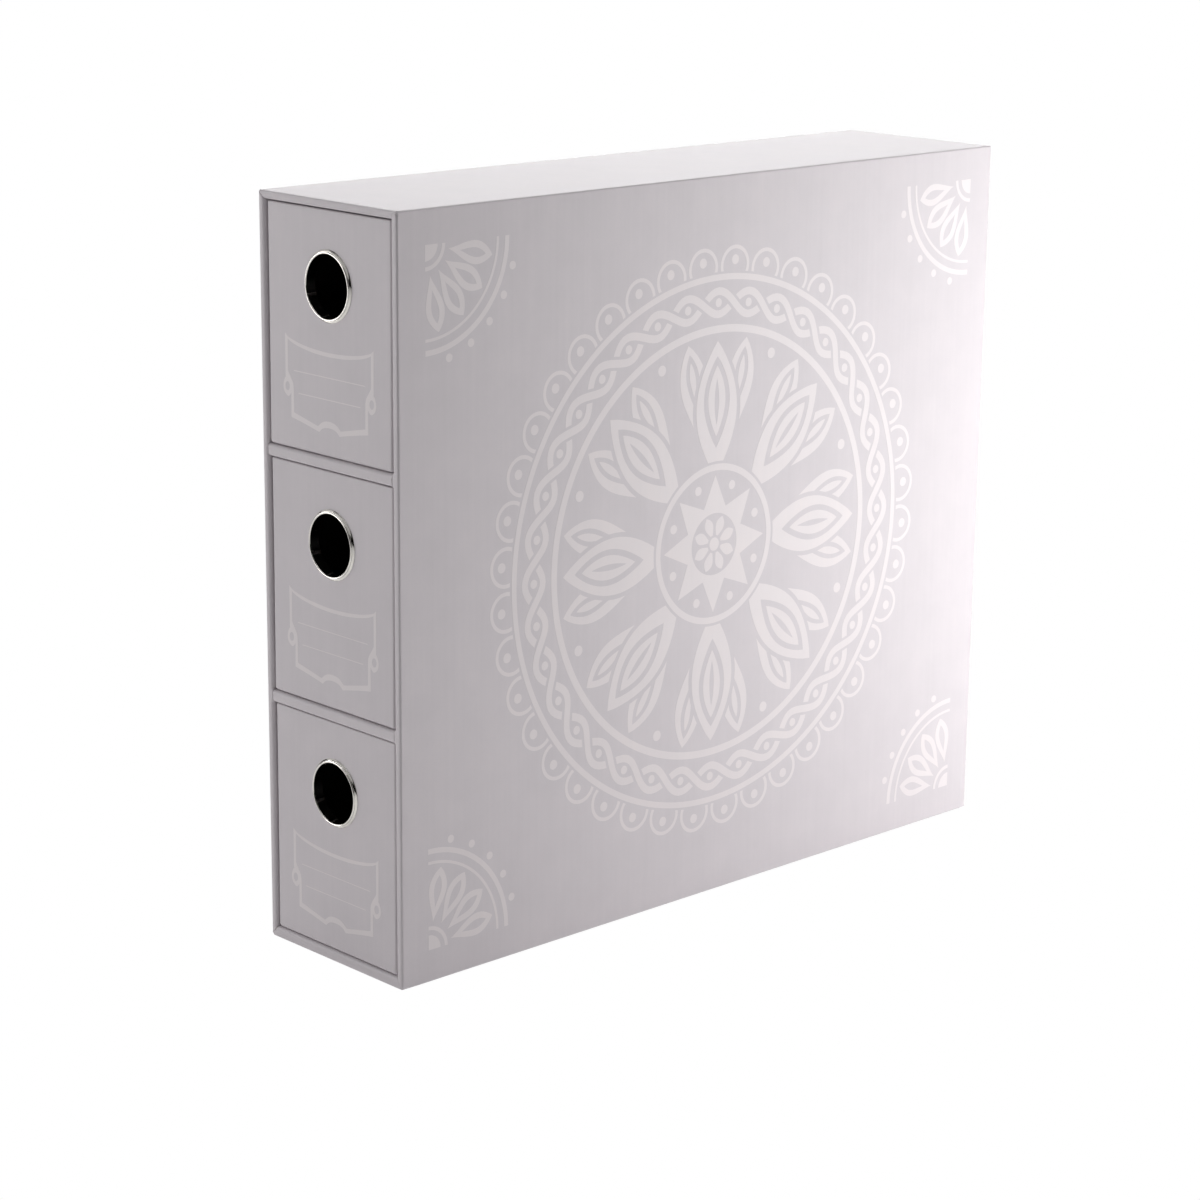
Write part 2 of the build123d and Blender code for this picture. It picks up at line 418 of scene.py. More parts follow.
def pucker(x, y, z):
    """A small pinch of the paper at the top of the front right edge."""
    d2 = (x - 42.45) ** 2 + (y + 174.7) ** 2 + ((z - 313.6) * 0.8) ** 2
    return 0.3 * math.exp(-d2 / 0.22) if d2 < 3 else 0.0


def casing_cover():
    near = [0.1, 0.22, 0.36, 0.52, 0.72, 1.0, 1.4, 2.0, 3.0]
    fix_h = [-32, -24, -16, -8, 0, 8, 16, 24, 32]
    fix_v = [10, 18, 30, 45, 60, 75, 88, 96, 100]
    fix_v += [round(102.0 + 0.3 * k, 2) for k in range(29)]
    fix_v += [112, 120, 135, 150, 165, 180, 192, 200, 204]
    fix_v += [round(206.0 + 0.3 * k, 2) for k in range(29)]
    fix_v += [216, 224, 240, 255, 270, 285, 296, 304]
    ol = Outline(fix_h, fix_v, near, 10)
    sides = [(c, v) if kind == "fix" else None for kind, c, v in ol.spec]
    profiles = {}
    base = casing_profile(R_IN)
    rows = []
    for i in range(len(base)):
        d, y = base[i]

        def squeeze(c, v, d=d):
            if d <= 4:
                return v
            if c % 2 == 0:
                return v * (HW - d) / (HW - 4)
            mid, half = (ZB + ZT) / 2, (ZT - ZB) / 2
            return mid + (v - mid) * (half - d) / (half - 4)

        f = 1 - smooth(YF + 0.5, YF + 9, y)
        r = [max(lerp(LONG_R, FRONT_R[c], f) - d, 0.2) for c in range(4)]
        flat = ol.points(-HW + d, HW - d, ZB + d, ZT - d, r, squeeze)
        row = []
        for j, (x, z) in enumerate(flat):
            yy = y
            if sides[j] and sides[j][0] in (1, 3) and y < -150:
                zz = sides[j][1]
                key = (sides[j][0], zz)
                if key not in profiles:
                    profiles[key] = casing_profile(inner_radius(1 if sides[j][0] == 1 else -1, zz))
                dd, yy = profiles[key][i]
                x = (HW - dd) if sides[j][0] == 1 else -(HW - dd)
            x -= RIM_MORE * smooth(R_OUT, 2.6, d) * smooth(5, 39, x)
            low = 1 - smooth(2.0, 7.0, z)
            if low and yy < YF + R_IN + 0.01 and d > 1.6:
                t = min(1.0, (d - 1.6) / (RIM - 1.6))
                yy = lerp(yy, YF + R_IN * (1 - math.sqrt(1 - t * t)), low)
            z += BASE_MORE * smooth(R_OUT, RIM, d) * (1 - smooth(8, 45, z))
            row.append((x, yy, z))
        rows.append(row)
    bm = bmesh.new()
    skin(bm, rows)
    bmesh.ops.recalc_face_normals(bm, faces=bm.faces)
    bm.normal_update()
    if sum(f.normal.x * f.calc_area() for f in bm.faces if f.calc_center_median().x > 0.0427) < 0:
        bmesh.ops.reverse_faces(bm, faces=bm.faces)
    displace(bm, lambda x, y, z: mitre(x, y, z) + pucker(x, y, z))
    return finish_mesh(bm, "casing_cover", cover_paper, "casing", ("casing_wrap",),
                       outward=lambda b: sum(f.normal.x * f.calc_area() for f in b.faces if f.calc_center_median().x > 0.0427),
                       sheet=PAPER)


casing_cover()


# ============================================================================
# Shelf strips: the paper round each shelf's front edge
# ============================================================================

def shelf_strip(name, z0, z1, x0, x1, corner, node):
    near = [0.12, 0.3, 0.6, 1.1]
    ol = Outline([-36, -30, -20, -10, 0, 10, 20, 30, 36], [z0 + 1.9, z1 - 1.9], near, 6)
    soft = (1.25, 0.4, 1.5, 0.4)          # radius of the front edge on each side

    def side_of(kind, c, v):
        """Shares of the two sides that a point belongs to."""
        if kind == "arc":
            t = (v - 180 - 90 * c) / 90
            return (c - 1) % 4, c, t
        return c, c, 1.0

    rows = []
    steps = [("wall", u) for u in (1.0, 0.6, 0.3, 0.12, 0.03)] + [("turn", 10 * a) for a in range(10)]
    for kind_, u in steps:
        if kind_ == "wall":
            inset = [0.0] * 4
        else:
            inset = [s * (1 - math.cos(rad(u))) for s in soft]
        r = [max(corner[c] - max(inset[(c - 1) % 4], inset[c]), 0.08) for c in range(4)]
        pts = ol.points(x0 + inset[3], x1 - inset[1], z0 + inset[0], z1 - inset[2], r)
        row = []
        for (x, z), (kind, c, v) in zip(pts, ol.spec):
            a, b, t = side_of(kind, c, v)
            s = lerp(soft[a], soft[b], smooth(0, 1, t))
            y = YF + s + (15 - s) * u if kind_ == "wall" else YF + s * (1 - math.sin(rad(u)))
            row.append((x, y, z))
        rows.append(row)
    bm = bmesh.new()
    grid = skin(bm, rows)
    bm.faces.new(grid[-1])
    return finish_mesh(bm, name, cover_paper, "casing", (node,),
                       outward=lambda b: -sum(f.normal.y * f.calc_area() for f in b.faces if f.calc_center_median().y < -0.17495),
                       sheet=PAPER)


shelf_strip("lower_shelf_strip", *SHELVES[0], -39.39, 39.04, (1.5, 0.3, 0.3, 0.35), "lower_shelf_wrap")
shelf_strip("upper_shelf_strip", *SHELVES[1], -39.36, 39.04, (1.3, 0.3, 0.3, 0.25), "upper_shelf_wrap")


# ============================================================================
# Drawers
# ============================================================================
EDGE = 1.05              # upright edges beside the face
FOOT = 1.7               # round the underside
LIP = 0.6                # outside of the top edge
CREST = 0.55             # how far the folded paper stands above the board's top
LIP_IN = 0.9             # inside of the top edge


def face_bow(z, z0):
    """How far the face stands forward of its board: the fronts lean out a little at the foot."""
    t = min(1.0, max(0.0, (z0 + DRAWER_H - z) / DRAWER_H))
    return 0.42 * t * t


def drawer_cover(body, z0):
    z1 = z0 + DRAWER_H + CREST
    zc = z0 + DRAWER_H - RING_DROP
    near = [0.15, 0.4, 0.9, 1.8]
    fix_x = [-34 + 4 * k for k in range(18)]
    fix_y = [-168, -160] + list(range(-145, 156, 20)) + [162]
    ol = Outline(fix_x, fix_y, near, 8)
    # outline in plan: side 0 is the face, at -Y
    levels = []
    for d in (14, 8, 4.5, 2.8):
        levels.append((d, z0, "foot"))
    for a in range(10):
        t = rad(10 * a)
        levels.append((FOOT * (1 - math.sin(t)), z0 + FOOT * (1 - math.cos(t)), "foot"))
    wall = [z0 + FOOT + k for k in (0.3, 0.8, 1.8)]
    n = 22
    wall += [lerp(z0 + FOOT + 3.5, z1 - LIP - 2.8, k / n) for k in range(n + 1)]
    wall += [z1 - LIP - k for k in (1.4, 0.6, 0.25)]
    levels += [(0, z, "wall") for z in wall]
    for a in range(8):
        t = rad(90 * a / 7)
        levels.append((LIP * (1 - math.cos(t)), z1 - LIP * (1 - math.sin(t)), "lip"))
    T = 2.4
    levels.append(((LIP + T - LIP_IN) / 2, z1 + 0.0, "lip"))
    for a in range(8):
        t = rad(90 * a / 7)
        levels.append((T - LIP_IN + LIP_IN * math.sin(t), z1 - LIP_IN * (1 - math.cos(t)), "in"))
    levels += [(T, z1 - k, "in") for k in (1.6, 3, 6, 9, 11.9)]
    rows = []
    face_rows = []
    for i, (d, z, part) in enumerate(levels):
        df = d if d <= LIP else LIP + (d - LIP) * (2.9 - LIP) / (T - LIP) if part in ("lip", "in") else d
        r_f = max(EDGE - d, 0.15)
        r_b = max(0.8 - d, 0.15)
        if part == "foot":
            r_f, r_b = max(EDGE - d, 0.3), max(0.8 - d, 0.3)

        def squeeze(c, v, d=d):
            if d <= 3:
                return v
            if c % 2 == 0:
                return v * (DHW - d) / (DHW - 3)
            mid, half = (FY + RY) / 2, (RY - FY) / 2
            return mid + (v - mid) * (half - d) / (half - 3)

        pts = ol.points(-DHW + d, DHW - d, FY + df, RY - d, (r_f, r_f, r_b, r_b), squeeze)
        rows.append([(x, y, z) for x, y in pts])
        if z0 + FOOT - 1e-6 <= z <= z1 - LIP + 1e-6 and d < 1e-6:
            face_rows.append(i)
    flat = [j for j, (k, c, v) in enumerate(ol.spec) if c == 0 and k in ("out", "fix", "in")]
    j0 = flat[0] - 1                 # last point of the lower left arc
    j1 = flat[-1] + 1                # first point of the lower right arc
    i0, i1 = face_rows[0], face_rows[-1]
    bm = bmesh.new()
    grid = skin(bm, rows, skip=lambda i, j: i0 <= i < i1 and j0 <= j < j1)
    bm.faces.new(grid[0])
    # the face, with its finger hole, between the rows and columns left open
    rim = [rows[i0][j] for j in range(j0, j1 + 1)]
    rim += [rows[i][j1] for i in range(i0 + 1, i1 + 1)]
    rim += [rows[i1][j] for j in range(j1 - 1, j0 - 1, -1)]
    rim += [rows[i][j0] for i in range(i1 - 1, i0, -1)]
    pts = [Vector((p[0], p[2])) for p in rim]
    edges = [(k, (k + 1) % len(pts)) for k in range(len(pts))]
    hole_r, n_hole = 13.35, 96
    start = len(pts)
    for k in range(n_hole):
        a = 2 * math.pi * k / n_hole
        pts.append(Vector((hole_r * math.cos(a), zc + hole_r * math.sin(a))))
    edges += [(start + k, start + (k + 1) % n_hole) for k in range(n_hole)]
    for r, m in ((14.8, 72), (17.0, 48)):
        for k in range(m):
            a = 2 * math.pi * (k + 0.5) / m
            pts.append(Vector((r * math.cos(a), zc + r * math.sin(a))))
    for ix in range(-17, 18):
        for iz in range(1, 45):
            x, z = ix * 2.1, z0 + FOOT + iz * 2.1
            if z < z1 - LIP - 1.2 and math.hypot(x, z - zc) > 18.6:
                pts.append(Vector((x + (0.5 if iz % 2 else 0), z)))
    got = delaunay_2d_cdt(pts, edges, [], 0, 1e-6)
    new = [bm.verts.new(Vector((p.x, FY, p.y)) * MM) for p in got[0]]
    for f in got[2]:
        c = sum((got[0][k] for k in f), Vector((0, 0))) / len(f)
        if math.hypot(c.x, c.y - zc) < hole_r * 0.999:
            continue
        bm.faces.new([new[k] for k in f])
    bmesh.ops.remove_doubles(bm, verts=bm.verts, dist=5e-7)
    for v in bm.verts:
        x, y, z = v.co / MM
        w = 1 - smooth(FY + 0.4, FY + 2.2, y)
        if w > 0:
            v.co.y -= face_bow(z, z0) * w * MM
    cover = finish_mesh(bm, f"{body}_cover", cover_paper, body, (f"{body}_wrap",),
                        outward=lambda b: sum(f.normal.x * f.calc_area() for f in b.faces if f.calc_center_median().x > 0.03835),
                        sheet=PAPER)
    return cover


for body, z0 in DRAWERS:
    drawer_cover(body, z0)


# ============================================================================
# Finger rings: one rolled sheet of nickel-plated steel
# ============================================================================

def ring_profile():
    """(how far behind the face, radius), once round the section."""
    back = 2.5 + 0.2 + 0.15 + 0.5
    p = [(0.04, 14.5), (-0.09, 14.53), (-0.19, 14.48)]
    # outer flank, then a fine groove and the bead on the crest
    for t in (0.1, 0.25, 0.4, 0.55, 0.7, 0.85, 1.0):
        p.append((lerp(-0.19, -0.72, t), lerp(14.48, 13.80, t) + 0.05 * math.sin(math.pi * t)))
    p += [(-0.70, 13.75), (-0.72, 13.70)]
    for a in range(12, 169, 12):
        p.append((-0.78 - 0.42 * math.sin(rad(a)), 13.25 + 0.44 * math.cos(rad(a))))
    # inner flank down to the bore, then a small step and the barrel
    p += [(-0.66, 12.80), (-0.50, 12.80), (-0.32, 12.79), (-0.14, 12.78), (0.06, 12.77),
          (0.3, 12.76), (0.55, 12.74), (0.72, 12.72), (1.2, 12.70), (2.2, 12.70), (back - 0.1, 12.70)]
    for a in range(0, 181, 20):
        p.append((back + 0.12 + 0.55 * math.sin(rad(a)), 13.28 - 0.58 * math.cos(rad(a))))
    p += [(back, 13.78), (back, 13.45), (back, 13.15), (1.8, 13.15), (0.6, 13.15), (0.04, 13.15), (0.04, 13.8)]
    return p


def finger_ring(body, z0):
    zc = z0 + DRAWER_H - RING_DROP
    prof = ring_profile()
    n = 144
    bm = bmesh.new()
    rows = []
    for k in range(n):
        a = 2 * math.pi * k / n
        rows.append([bm.verts.new(Vector((r * math.cos(a), FY + d - face_bow(zc, z0), zc + r * math.sin(a))) * MM) for d, r in prof])
    m = len(prof)
    for k in range(n):
        A, B = rows[k], rows[(k + 1) % n]
        for i in range(m):
            bm.faces.new([A[i], A[(i + 1) % m], B[(i + 1) % m], B[i]])
    return finish_mesh(bm, f"{body}_grip_ring", nickel, body, (f"{body}_finger_ring",),
                       outward=lambda b: b.calc_volume(signed=True), sharp=50)


for body, z0 in DRAWERS:
    finger_ring(body, z0)


# ============================================================================
# Prints: thin films of lighter ink, cut out like paper
# ============================================================================

def film(name, layers, place, mat, body, depth=0.035, sink=0.03):
    """layers are (sign, polygon); a later one covers or clears the earlier ones.
    place(u, v, h) gives the point h millimetres above the surface."""
    verts, edges = [], []
    for _, poly in layers:
        k, n = len(verts), len(poly)
        verts += [Vector(p) for p in poly]
        edges += [(k + i, k + (i + 1) % n) for i in range(n)]
    vs, _, tris, _, _, _ = delaunay_2d_cdt(verts, edges, [], 0, 1e-5, False)
    mid = np.array([[sum(vs[k][a] for k in t) / len(t) for a in (0, 1)] for t in tris])
    state = np.zeros(len(tris), dtype=bool)
    for sign, poly in layers:
        q = np.array(poly, dtype=float)
        near = np.where((mid[:, 0] > q[:, 0].min()) & (mid[:, 0] < q[:, 0].max()) &
                        (mid[:, 1] > q[:, 1].min()) & (mid[:, 1] < q[:, 1].max()))[0]
        inside = np.zeros(len(near), dtype=bool)
        px, py = mid[near, 0], mid[near, 1]
        for a, b in zip(q, np.roll(q, -1, axis=0)):
            if a[1] == b[1]:
                continue
            hit = (a[1] > py) != (b[1] > py)
            inside ^= hit & (px < (b[0] - a[0]) * (py - a[1]) / (b[1] - a[1]) + a[0])
        state[near[inside]] = sign > 0
    keep = [t for t, on in zip(tris, state) if on]
    used = sorted({k for t in keep for k in t})
    bm = bmesh.new()
    top = {k: bm.verts.new(Vector(place(vs[k].x, vs[k].y, depth)) * MM) for k in used}
    low = {k: bm.verts.new(Vector(place(vs[k].x, vs[k].y, -sink)) * MM) for k in used}
    count = {}
    for t in keep:
        for a, b in zip(t, list(t[1:]) + [t[0]]):
            count[(a, b)] = count.get((a, b), 0) + 1
    for t in keep:
        bm.faces.new([top[k] for k in t])
        bm.faces.new([low[k] for k in reversed(t)])
        for a, b in zip(t, list(t[1:]) + [t[0]]):
            if (b, a) not in count:
                bm.faces.new([top[a], low[a], low[b], top[b]])
    bm.normal_update()
    if bm.calc_volume(signed=True) < 0:
        bmesh.ops.reverse_faces(bm, faces=bm.faces)
    me = bpy.data.meshes.new(name)
    bm.to_mesh(me)
    bm.free()
    me.materials.append(mat)
    ob = bpy.data.objects.new(name, me)
    bpy.context.scene.collection.objects.link(ob)
    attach(ob, body)
    return ob


def curve(points, closed=False, n=6):
    """A Catmull-Rom curve through the points."""
    p = [Vector(q) for q in points]
    out = []
    m = len(p)
    last = m if closed else m - 1
    for i in range(last):
        if closed:
            a, b, c, d = p[(i - 1) % m], p[i], p[(i + 1) % m], p[(i + 2) % m]
        else:
            a, b, c, d = p[max(i - 1, 0)], p[i], p[i + 1], p[min(i + 2, m - 1)]
        for k in range(n):
            t = k / n
            out.append(0.5 * ((2 * b) + (c - a) * t + (2 * a - 5 * b + 4 * c - d) * t * t + (3 * b - a - 3 * c + d) * t ** 3))
    if not closed:
        out.append(p[-1])
    return [(v.x, v.y) for v in out]


def circle(cx, cy, r, n=64, ry=None):
    ry = r if ry is None else ry
    return [(cx + r * math.cos(2 * math.pi * k / n), cy + ry * math.sin(2 * math.pi * k / n)) for k in range(n)]


def both(half):
    """A closed outline from its right half, top centre to bottom centre."""
    return half + [(-x, y) for x, y in half[::-1] if abs(x) > 1e-6]


def label_layers():
    """A writing label: banner frame with drawn-out upper tips, a loop on each side, an
    arched foot and two ruled lines. x from the middle, y down from the drawer's top edge."""
    dz = 4.45                              # the outline was laid out from the casing's top

    def down(pts):
        return [(x, y - dz) for x, y in pts]

    outer = curve([(0, 60.1), (5.6, 59.95), (13.3, 59.4), (19.2, 58.55), (23.4, 57.6), (25.9, 56.8), (27.75, 55.5)])
    outer += [(27.72, 60), (27.7, 66), (27.7, 72.6)]
    outer += curve([(27.5, 73.4), (25.6, 75.2), (24.15, 77.6)]) + [(24.12, 83), (24.2, 89.1)]
    outer += curve([(23.9, 89.25), (18.5, 90.15), (13.0, 91.2), (8.6, 92.1), (6.5, 92.6)])
    outer += curve([(6.1, 92.3), (4.9, 91.25), (3.4, 90.6), (1.7, 90.25), (0, 90.15)])
    inner = curve([(0, 61.75), (7.5, 61.5), (12.6, 61.0), (19.1, 60.0), (23.4, 58.9), (26.1, 57.75)])
    inner += [(26.12, 62), (26.15, 66), (26.15, 70.2)]
    inner += curve([(26.0, 70.7), (24.3, 73.1), (22.95, 75.2), (22.5, 77.2)]) + [(22.48, 82), (22.45, 87.0)]
    inner += curve([(22.2, 87.15), (18.4, 87.95), (12.6, 89.2), (8.6, 90.05), (7.0, 90.35)])
    inner += curve([(6.7, 90.0), (5.2, 88.85), (3.7, 88.1), (1.8, 87.65), (0, 87.55)])
    layers = [(1, both(down(outer))), (-1, both(down(inner)))]
    loop = curve([(27.6, 73.3), (28.7, 74.9), (29.15, 76.8), (28.9, 78.6), (27.9, 80.0), (26.1, 80.95),
                  (24.6, 79.9), (23.7, 78.0), (24.0, 75.6), (25.6, 73.8)], closed=True, n=4)
    eye = circle(26.45, 76.85, 1.4, 28, 1.85)
    for s in (1, -1):
        layers.append((1, down([(s * x, y) for x, y in loop])))
        layers.append((-1, down([(s * x, y) for x, y in eye])))
    for y, half in ((70.1, 22.3), (78.95, 19.4)):
        layers.append((1, down([(-half, y - 0.2), (half, y - 0.2), (half + 0.15, y), (half, y + 0.2), (-half, y + 0.2), (-half - 0.15, y)])))
    return layers


for body, z0 in DRAWERS:
    z1 = z0 + DRAWER_H
    film(f"{body}_label_print", label_layers(),
         lambda u, v, h, z0=z0, z1=z1: (u - 0.2, FY - face_bow(z1 - v, z0) - h, z1 - v),
         print_ink, body)


# ---- ornament on the wide face ---------------------------------------------
# A round medallion of rings, a two-strand braid and pointed petals, with a small
# fan in each corner: plain geometric ornament, all from circles and arcs.

def turn(pts, a, cx=0.0, cy=0.0):
    c, s = math.cos(a), math.sin(a)
    return [(cx + x * c - y * s, cy + x * s + y * c) for x, y in pts]


def petal(r0, r1, w, belly=0.5, n=18):
    """A pointed leaf from r0 to r1 along +x, w wide; belly moves the widest place."""
    up, dn = [], []
    for k in range(n + 1):
        t = k / n
        q = t ** (math.log(0.5) / math.log(belly))
        h = w / 2 * math.sin(math.pi * q) ** 0.86
        x = lerp(r0, r1, t)
        up.append((x, h))
        dn.append((x, -h))
    return up + dn[-2:0:-1]


def band(f, a0, a1, w, n):
    """A strip w wide along the curve r = f(angle)."""
    left, right = [], []
    for k in range(n + 1):
        a = lerp(a0, a1, k / n)
        e = 1e-4
        p = Vector((f(a) * math.cos(a), f(a) * math.sin(a)))
        q = Vector((f(a + e) * math.cos(a + e), f(a + e) * math.sin(a + e)))
        t = (q - p).normalized()
        m = Vector((-t.y, t.x)) * (w / 2)
        left.append(tuple(p + m))
        right.append(tuple(p - m))
    return left + right[::-1]


def medallion():
    L = []
    two = 2 * math.pi
    # scalloped border
    n = 40
    for k in range(n):
        a = two * (k + 0.5) / n
        L.append((1, turn(circle(0, 0, 8.6, 36), 0, 119.6 * math.cos(a), 119.6 * math.sin(a))))
    for k in range(n):
        a = two * (k + 0.5) / n
        L.append((-1, turn(circle(0, 0, 7.0, 36), 0, 119.6 * math.cos(a), 119.6 * math.sin(a))))
    for k in range(n):
        a = two * (k + 0.5) / n
        L.append((1, circle(122.0 * math.cos(a), 122.0 * math.sin(a), 2.1, 20)))
    L.append((-1, circle(0, 0, 117.2, 240)))
    L.append((1, circle(0, 0, 116.2, 240)))
    L.append((-1, circle(0, 0, 113.6, 240)))
    # braid of two strands
    periods, R, A, w, gap = 18, 104.2, 4.9, 3.3, 1.25
    one = lambda a: R + A * math.cos(periods * a)
    other = lambda a: R - A * math.cos(periods * a)
    cross = two / periods / 2
    for f in (one, other):
        for k in range(2 * periods):
            a = (k + 0.5) * cross
            L.append((1, band(f, a, a + cross, w, 10)))
    for k in range(2 * periods):
        a = (k + 0.5) * cross
        over = one if k % 2 else other
        L.append((-1, band(over, a - 0.27 * cross, a + 0.27 * cross, w + 2 * gap, 6)))
        L.append((1, band(over, a - 0.36 * cross, a + 0.36 * cross, w, 8)))
    for k in range(2 * periods):
        a = k * cross
        L.append((1, circle(R * math.cos(a), R * math.sin(a), 1.9, 20)))
    L.append((-1, circle(0, 0, 94.6, 200)))
    L.append((1, circle(0, 0, 94.6, 200)))
    L.append((-1, circle(0, 0, 91.4, 200)))
    # sixteen petals behind, eight large ones in front
    for k in range(16):
        a = two * (k + 0.5) / 16
        L.append((1, turn(petal(44, 89.5, 15.5, 0.62), a)))
    for k in range(16):
        a = two * (k + 0.5) / 16
        L.append((-1, turn(petal(58, 85.5, 7.6, 0.6), a)))
        L.append((1, turn(petal(64, 82.0, 3.4, 0.6), a)))
    for k in range(16):
        a = two * k / 16
        L.append((1, circle(85.6 * math.cos(a), 85.6 * math.sin(a), 2.3, 20)))
    for k in range(8):
        a = two * k / 8
        L.append((-1, turn(petal(27, 90.5, 28.5, 0.5), a)))
        L.append((1, turn(petal(30, 88.0, 24.5, 0.5), a)))
    for k in range(8):
        a = two * k / 8
        L.append((-1, turn(petal(42, 81.5, 15.5, 0.52), a)))
        L.append((1, turn(petal(47, 77.5, 10.4, 0.52), a)))
        L.append((-1, turn(petal(52, 72.0, 2.6, 0.5), a)))
    # heart: rings, eight-pointed star, rosette
    L.append((-1, circle(0, 0, 36.2, 120)))
    L.append((1, circle(0, 0, 35.0, 120)))
    L.append((-1, circle(0, 0, 32.2, 120)))
    star = []
    for k in range(16):
        r = 30.2 if k % 2 == 0 else 17.2
        a = two * k / 16
        star.append((r * math.cos(a), r * math.sin(a)))
    L.append((1, star))
    for k in range(8):
        a = two * (k + 0.5) / 8
        L.append((1, circle(26.6 * math.cos(a), 26.6 * math.sin(a), 2.0, 20)))
    L.append((-1, circle(0, 0, 13.6, 72)))
    for k in range(8):
        a = two * (k + 0.5) / 8
        L.append((1, turn(petal(2.4, 12.6, 5.0, 0.62, 12), a)))
    L.append((-1, circle(0, 0, 4.0, 40)))
    L.append((1, circle(0, 0, 2.9, 40)))
    return L


def corner_fan(sx, sz):
    """A quarter fan in a corner; sx and sz point into the face."""
    L = []
    q = math.pi / 2

    def arc(r0, r1, a0=0.0, a1=q, n=24):
        return [(r1 * math.cos(lerp(a0, a1, k / n)), r1 * math.sin(lerp(a0, a1, k / n))) for k in range(n + 1)] + \
               [(r0 * math.cos(lerp(a1, a0, k / n)), r0 * math.sin(lerp(a1, a0, k / n))) for k in range(n + 1)]

    L.append((1, arc(41.0, 43.2)))
    L.append((1, arc(36.6, 37.8)))
    for k in range(7):
        a = q * k / 6
        if 0 < k < 6:
            L.append((1, circle(46.6 * math.cos(a), 46.6 * math.sin(a), 1.7, 18)))
    for k in range(4):
        a = q * (k + 0.5) / 4
        L.append((1, turn(petal(12.0, 35.0, 9.4, 0.62), a)))
        L.append((-1, turn(petal(18.0, 31.5, 3.8, 0.6), a)))
    L.append((1, arc(8.6, 10.2)))
    L.append((1, [(0, 0)] + [(6.4 * math.cos(q * k / 12), 6.4 * math.sin(q * k / 12)) for k in range(13)]))
    return [(s, [(sx * x, sz * z) for x, z in p] if sx * sz > 0 else [(sx * x, sz * z) for x, z in p][::-1]) for s, p in L]


film("side_ornament_medallion", [(s, [(x, z + 157.6) for x, z in p]) for s, p in medallion()],
     lambda u, v, h: (HW + h, u, v), print_ink, "casing")
fans = []
for sx, sz, y, z in ((1, 1, -161, 14), (-1, 1, 161, 14), (1, -1, -161, 301), (-1, -1, 161, 301)):
    fans += [(s, [(a + y, b + z) for a, b in p]) for s, p in corner_fan(sx, sz)]
film("side_ornament_corners", fans, lambda u, v, h: (HW + h, u, v), print_ink, "casing")


# ============================================================================
# Materials of the pieces that come from the construction
# ============================================================================
FINISH = {"board": greyboard, "lining": lining_paper, "washer": washer_metal, "sheet": end_paper,
          "wrap": cover_paper, "ring": nickel}
for name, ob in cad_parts.items():
    mat = FINISH[name.rsplit("_", 1)[1]]
    ob.data.materials.clear()
    ob.data.materials.append(mat)


# ============================================================================
# Studio: pale floor, soft lights, camera
# ============================================================================

def floor():
    m, nt, bsdf = material("studio_floor")
    v = coords(nt, (1, 1, 1))
    n = noise_tex(nt, v, 6, 2, 0.5)
    nt.links.new(ramp(nt, n, [(0.3, (0.78, 0.78, 0.78)), (0.7, (0.81, 0.81, 0.81))]), bsdf.inputs["Base Color"])
    bsdf.inputs["Roughness"].default_value = 0.9
    bsdf.inputs["Specular IOR Level"].default_value = 0.1
    bsdf.inputs["Emission Color"].default_value = (1, 1, 1, 1)
    bsdf.inputs["Emission Strength"].default_value = 0.28
    lit = nt.nodes.new("ShaderNodeEmission")
    lit.inputs["Strength"].default_value = 1.0
    way = nt.nodes.new("ShaderNodeLightPath")
    mix = nt.nodes.new("ShaderNodeMixShader")
    nt.links.new(way.outputs["Is Camera Ray"], mix.inputs["Fac"])
    nt.links.new(bsdf.outputs[0], mix.inputs[1])
    nt.links.new(lit.outputs[0], mix.inputs[2])
    nt.links.new(mix.outputs[0], nt.nodes["Material Output"].inputs["Surface"])
    bm = bmesh.new()
    bmesh.ops.create_circle(bm, cap_ends=True, radius=6.0, segments=96)
    me = bpy.data.meshes.new("studio_floor")
    bm.to_mesh(me)
    bm.free()
    me.materials.append(m)
    ob = bpy.data.objects.new("studio_floor", me)
    ob.location.z = -0.00002
    bpy.context.scene.collection.objects.link(ob)
    return ob


floor()

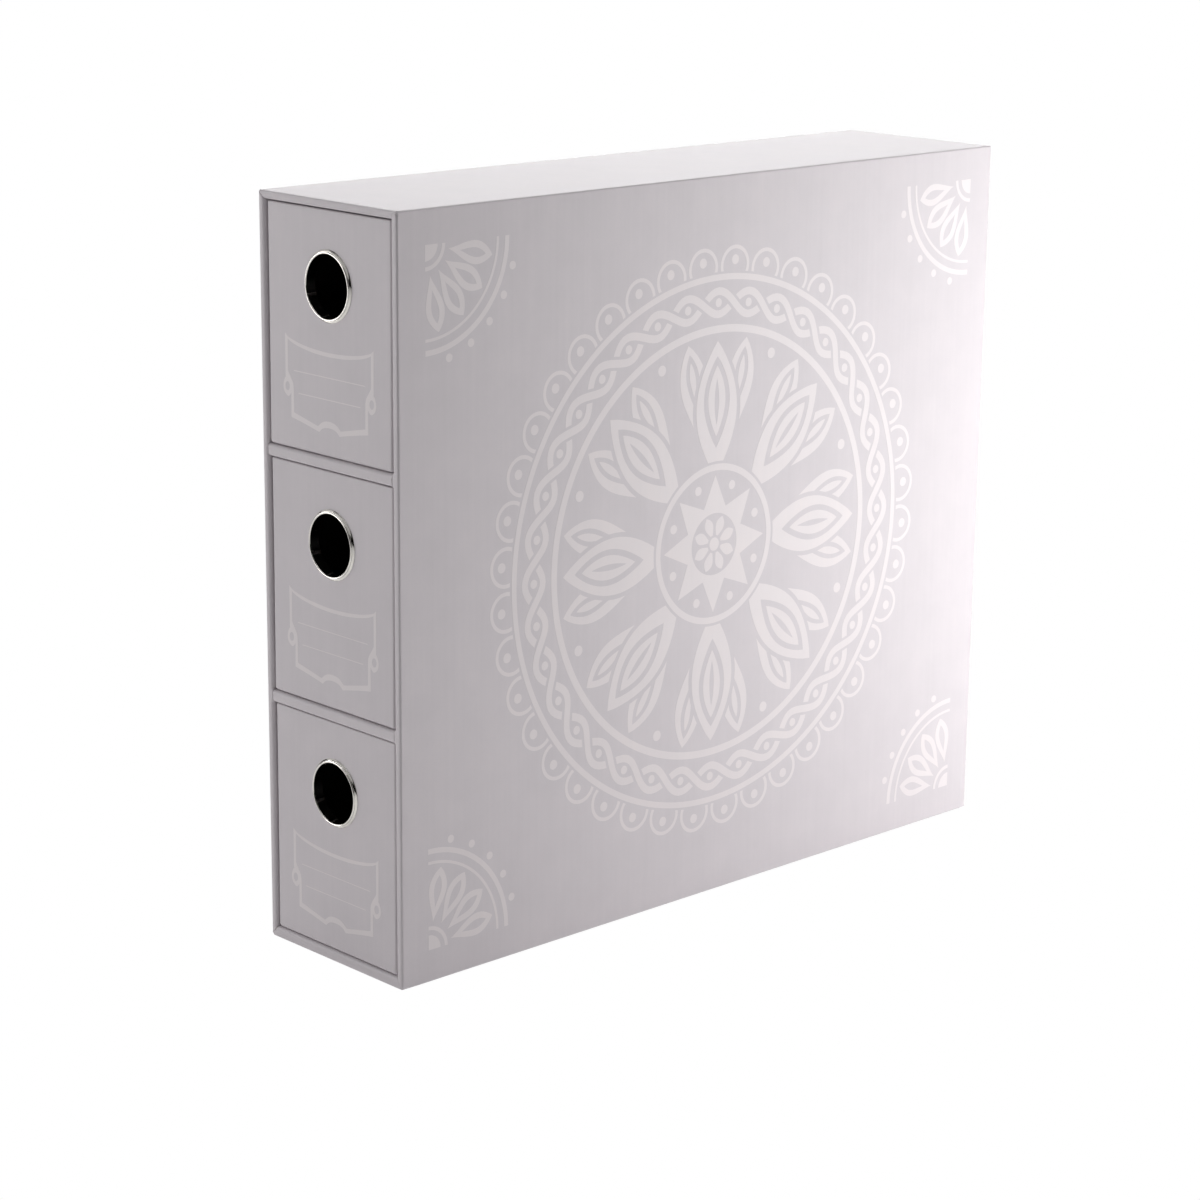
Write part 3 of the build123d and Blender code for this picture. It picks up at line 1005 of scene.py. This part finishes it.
# (name, place, aim, width, height, power in watts)
LIGHTS = [
    ("overhead", (0.0, 0.0, 1.3), (0.0, 0.0, 0.3), 1.0, 1.0, 6.2),
    ("canopy_front", (-0.5, -1.95, 1.42), (0.0, -0.17, 0.25), 3.2, 1.5, 6.6),
    ("canopy_left", (-1.76, -0.54, 1.16), (0.0, -0.17, 0.25), 1.3, 1.1, 2.7),
    ("strip_low", (0.263, 0.14, 0.03), (0.043, 0.14, 0.04), 0.5, 0.03, 0.07),
    ("backdrop_left", (-1.2, 1.2, 0.65), (0.0, 0.0, 0.3), 1.3, 1.0, 20.4),
    ("backdrop_right", (0.2, 1.6, 0.9), (0.0, 0.0, 0.3), 1.3, 1.0, 2.9),
    ("softbox_right", (0.45, 0.55, 0.35), (0.043, 0.10, 0.16), 0.5, 0.6, 1.95),
    ("strip_right", (0.26, 0.36, 0.18), (0.043, 0.12, 0.15), 0.22, 0.34, 0.92),
    ("softbox_left", (-1.3, -1.3, 0.34), (0.0, -0.17, 0.15), 1.1, 0.66, 9.6),
]


def lamp(name, place, aim, w, h, power):
    d = bpy.data.lights.new(name, "AREA")
    d.shape, d.size, d.size_y, d.energy = "RECTANGLE", w, h, power
    ob = bpy.data.objects.new(name, d)
    ob.location = place
    ob.rotation_mode = "QUATERNION"
    ob.rotation_quaternion = (Vector(place) - Vector(aim)).to_track_quat("Z", "Y")
    ob.visible_camera = False
    bpy.context.scene.collection.objects.link(ob)
    return ob


for spec in LIGHTS:
    lamp(*spec)

AMBIENT = 0.0
world = bpy.data.worlds.new("studio")
bpy.context.scene.world = world
world.use_nodes = True
wt = world.node_tree
wt.nodes.clear()
w_out = wt.nodes.new("ShaderNodeOutputWorld")
seen = wt.nodes.new("ShaderNodeBackground")
seen.inputs["Color"].default_value = (1, 1, 1, 1)
seen.inputs["Strength"].default_value = 1.0
around = wt.nodes.new("ShaderNodeBackground")
around.inputs["Color"].default_value = (1, 1, 1, 1)
around.inputs["Strength"].default_value = AMBIENT
path = wt.nodes.new("ShaderNodeLightPath")
choose = wt.nodes.new("ShaderNodeMixShader")
wt.links.new(path.outputs["Is Camera Ray"], choose.inputs["Fac"])
wt.links.new(around.outputs[0], choose.inputs[1])
wt.links.new(seen.outputs[0], choose.inputs[2])
wt.links.new(choose.outputs[0], w_out.inputs["Surface"])

cam_data = bpy.data.cameras.new("camera")
cam_data.sensor_width = 36.0
cam_data.lens = 93.012
cam_data.clip_start, cam_data.clip_end = 0.05, 50.0
cam = bpy.data.objects.new("camera", cam_data)
cam.matrix_world = Matrix((
    (0.6869322, -0.1912235, 0.7011118, 0.9442096),
    (0.7266643, 0.1686380, -0.6659731, -0.9232535),
    (0.0091156, 0.9669513, 0.2547981, 0.4721221),
    (0, 0, 0, 1)))
bpy.context.scene.collection.objects.link(cam)
bpy.context.scene.camera = cam
bpy.context.scene.view_settings.view_transform = "Standard"
bpy.context.scene.view_settings.look = "None"
